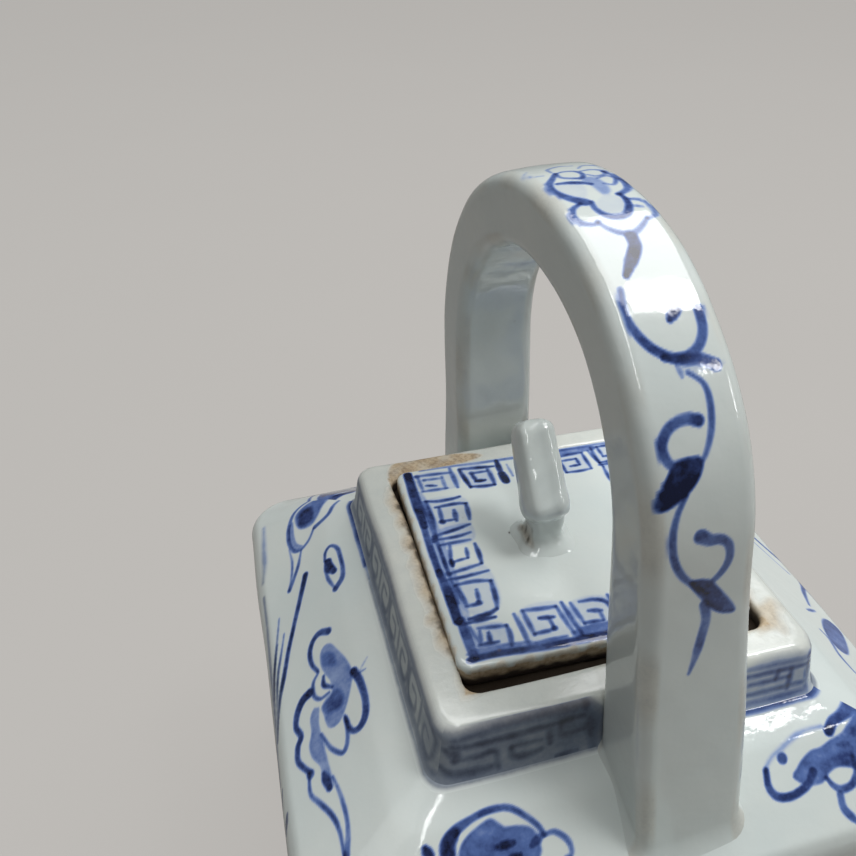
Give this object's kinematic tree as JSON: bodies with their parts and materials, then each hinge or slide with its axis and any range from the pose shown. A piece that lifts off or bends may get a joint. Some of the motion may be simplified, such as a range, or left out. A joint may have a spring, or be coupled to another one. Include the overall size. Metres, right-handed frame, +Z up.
{
  "type": "square porcelain teapot",
  "caption": "Square blue-and-white porcelain teapot with a fixed overhead strap handle, a front spout and a drop-in lid with a knob. It brews and pours tea.",
  "frame": {"origin": "centre of the foot, on the surface that the pot stands on", "axes": "+Z up, spout towards -Y, strap handle in the YZ plane"},
  "size_m": [0.113, 0.1449, 0.1672],
  "materials": {
    "glazed_porcelain": "glossy clear glaze over cobalt blue painting",
    "bare_clay": "unglazed, tan"
  },
  "bodies": {
    "pot": {"base_slab": "glazed_porcelain", "wall_front": "glazed_porcelain", "wall_back": "glazed_porcelain", "wall_left": "glazed_porcelain", "wall_right": "glazed_porcelain", "shoulder_front": "glazed_porcelain", "shoulder_back": "glazed_porcelain", "shoulder_left": "glazed_porcelain", "shoulder_right": "glazed_porcelain", "collar_front": "glazed_porcelain", "collar_back": "glazed_porcelain", "collar_left": "glazed_porcelain", "collar_right": "glazed_porcelain", "handle_strap": "glazed_porcelain", "spout": "glazed_porcelain", "foot_ring": "bare_clay", "lid_seat": "bare_clay"},
    "lid": {"lid_plate": "glazed_porcelain", "lid_flange": "bare_clay", "lid_knob": "glazed_porcelain"}
  },
  "joints": [
    {"name": "lid_lift", "type": "slide", "parent": "pot", "child": "lid", "axis": [0, 0, 1], "range_m": [0, 0.026]}
  ]
}
